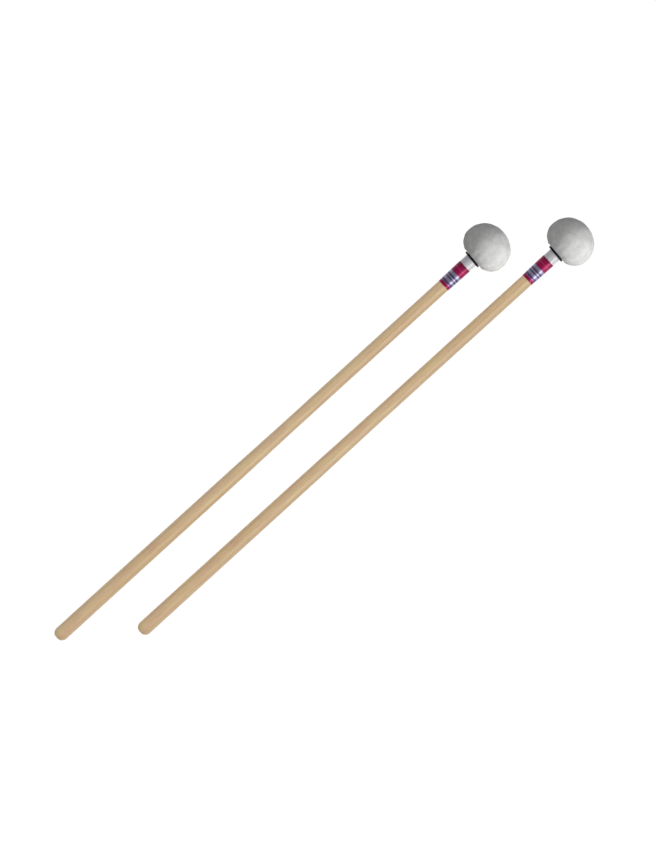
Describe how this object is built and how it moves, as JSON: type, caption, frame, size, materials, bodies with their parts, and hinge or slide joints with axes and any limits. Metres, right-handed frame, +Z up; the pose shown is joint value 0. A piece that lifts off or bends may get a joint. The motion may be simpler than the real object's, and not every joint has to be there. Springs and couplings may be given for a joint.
{
  "type": "timpani mallet pair",
  "caption": "Matched pair of timpani mallets: tapered hardwood shafts, a banded film label, a white sleeve and a black washer below a round felt-covered head on a wooden core.",
  "frame": {"origin": "on the surface that the mallets lie on, below the middle of the pair's outline", "axes": "+X along the mallets from butt to head, +Y from the right mallet to the left one, +Z up"},
  "size_m": [0.4266, 0.0656, 0.0319],
  "materials": {
    "shaft_wood": "satin lacquer over pale straight-grained hardwood",
    "core_wood": "bare turned wood",
    "label_film": "metallised film with crimson and silver bands",
    "white_vinyl": "glossy white",
    "black_rubber": "matt black",
    "cover_felt": "short-napped white felt",
    "liner_felt": "firm undyed felt",
    "white_thread": "waxed thread",
    "zinc_steel": "bright zinc plate"
  },
  "bodies": {
    "left_mallet": {"left_shaft": "shaft_wood", "left_sleeve": "white_vinyl", "left_label_band": "label_film", "left_neck_washer": "black_rubber", "left_felt_cover": "cover_felt", "left_felt_liner": "liner_felt", "left_head_core": "core_wood", "left_core_screw": "zinc_steel", "left_screw_washer": "zinc_steel", "left_gather_thread": "white_thread"},
    "right_mallet": {"right_shaft": "shaft_wood", "right_sleeve": "white_vinyl", "right_label_band": "label_film", "right_neck_washer": "black_rubber", "right_felt_cover": "cover_felt", "right_felt_liner": "liner_felt", "right_head_core": "core_wood", "right_core_screw": "zinc_steel", "right_screw_washer": "zinc_steel", "right_gather_thread": "white_thread"}
  },
  "joints": [
    {"name": "right_mallet_lift", "type": "slide", "parent": "left_mallet", "child": "right_mallet", "axis": [0, 0, 1], "range_m": [0, 0.15]}
  ]
}
